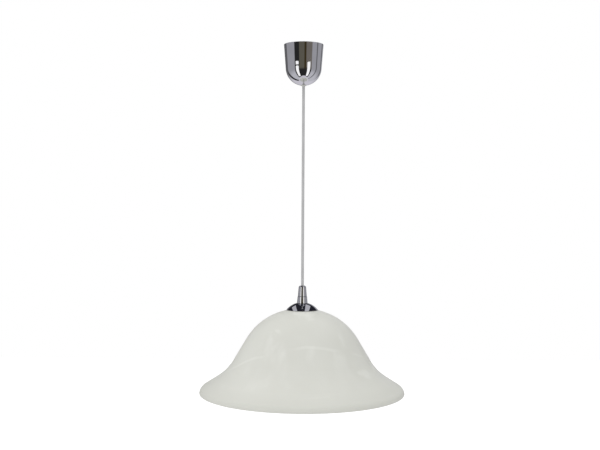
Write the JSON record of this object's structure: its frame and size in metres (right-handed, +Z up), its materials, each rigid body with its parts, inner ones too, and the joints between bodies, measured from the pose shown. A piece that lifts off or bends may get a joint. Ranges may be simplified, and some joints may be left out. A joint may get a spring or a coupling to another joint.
{
  "type": "pendant lamp",
  "caption": "Pendant lamp: a bell of marbled white glass under a chrome dome and cone gland, hung by a straight flex from a deep chrome ceiling cup that slides on the flex.",
  "frame": {"origin": "centre of the two ceiling slots, on the strap's top face where it meets the ceiling", "axes": "+Z up along the flex, -Y towards the viewer of the picture, X along the ceiling strap"},
  "size_m": [0.3999, 0.3998, 0.6805],
  "materials": {
    "chrome": "polished chrome plate",
    "alabaster_glass": "white alabaster glass, faintly marbled, fire polished",
    "opal_glass": "opal white",
    "zinc_steel": "zinc plated",
    "nylon": "natural white nylon",
    "brass": "plain brass",
    "flex_sheath": "pale grey flexible sheath",
    "brown_core": "brown insulation",
    "blue_core": "blue insulation",
    "earth_core": "green insulation with a yellow stripe",
    "holder_plastic": "white moulded plastic",
    "ceramic": "unglazed",
    "silicone": "translucent white silicone",
    "bulb_metal": "rolled",
    "black_glass": "black"
  },
  "bodies": {
    "ceiling": {"ceiling_strap": "zinc_steel", "ceiling_hook": "zinc_steel"},
    "pendant": {"hanger": "nylon", "cord_clamp": "nylon", "clamp_screws": "zinc_steel", "terminal_block": "nylon", "terminal_tubes": "brass", "terminal_screws": "zinc_steel", "terminal_fixings": "zinc_steel", "lead_live": "brown_core", "lead_neutral": "blue_core", "lead_earth": "earth_core", "cord": "flex_sheath"},
    "cup": {"ceiling_cup": "chrome", "cup_bush": "nylon", "cup_grub_screw": "zinc_steel"},
    "head": {"gland_nut": "chrome", "gland_collet": "nylon", "gland_base": "chrome", "nipple": "zinc_steel", "dome_cap": "chrome", "lock_washer": "zinc_steel", "nipple_nut": "zinc_steel", "cord_tail": "flex_sheath", "holder_cap": "holder_plastic", "holder_bush": "zinc_steel", "holder_shell": "holder_plastic", "holder_insert": "ceramic", "holder_sleeve": "brass", "centre_contact": "brass", "holder_terminals": "brass", "holder_screws": "zinc_steel", "holder_lead_live": "brown_core", "holder_lead_neutral": "blue_core", "holder_lead_earth": "earth_core", "shade_gaskets": "silicone", "upper_ring": "holder_plastic", "lower_ring": "holder_plastic", "glass_shade": "alabaster_glass"},
    "bulb": {"bulb_globe": "opal_glass", "bulb_cap": "bulb_metal", "bulb_insulator": "black_glass", "bulb_contact": "bulb_metal"}
  },
  "joints": [
    {"name": "hook_swing", "type": "hinge", "parent": "ceiling", "child": "pendant", "pos_m": [0, 0, -0.023], "axis": [0, 1, 0], "range_deg": [-8, 8]},
    {"name": "cup_slide", "type": "slide", "parent": "pendant", "child": "cup", "axis": [0, 0, 1], "range_m": [-0.38, 0]},
    {"name": "head_tilt", "type": "hinge", "parent": "pendant", "child": "head", "pos_m": [0, 0, -0.47097], "axis": [1, 0, 0], "range_deg": [-12, 12]},
    {"name": "bulb_unscrew", "type": "slide", "parent": "head", "child": "bulb", "axis": [0, 0, -1], "range_m": [0, 0.155]}
  ]
}
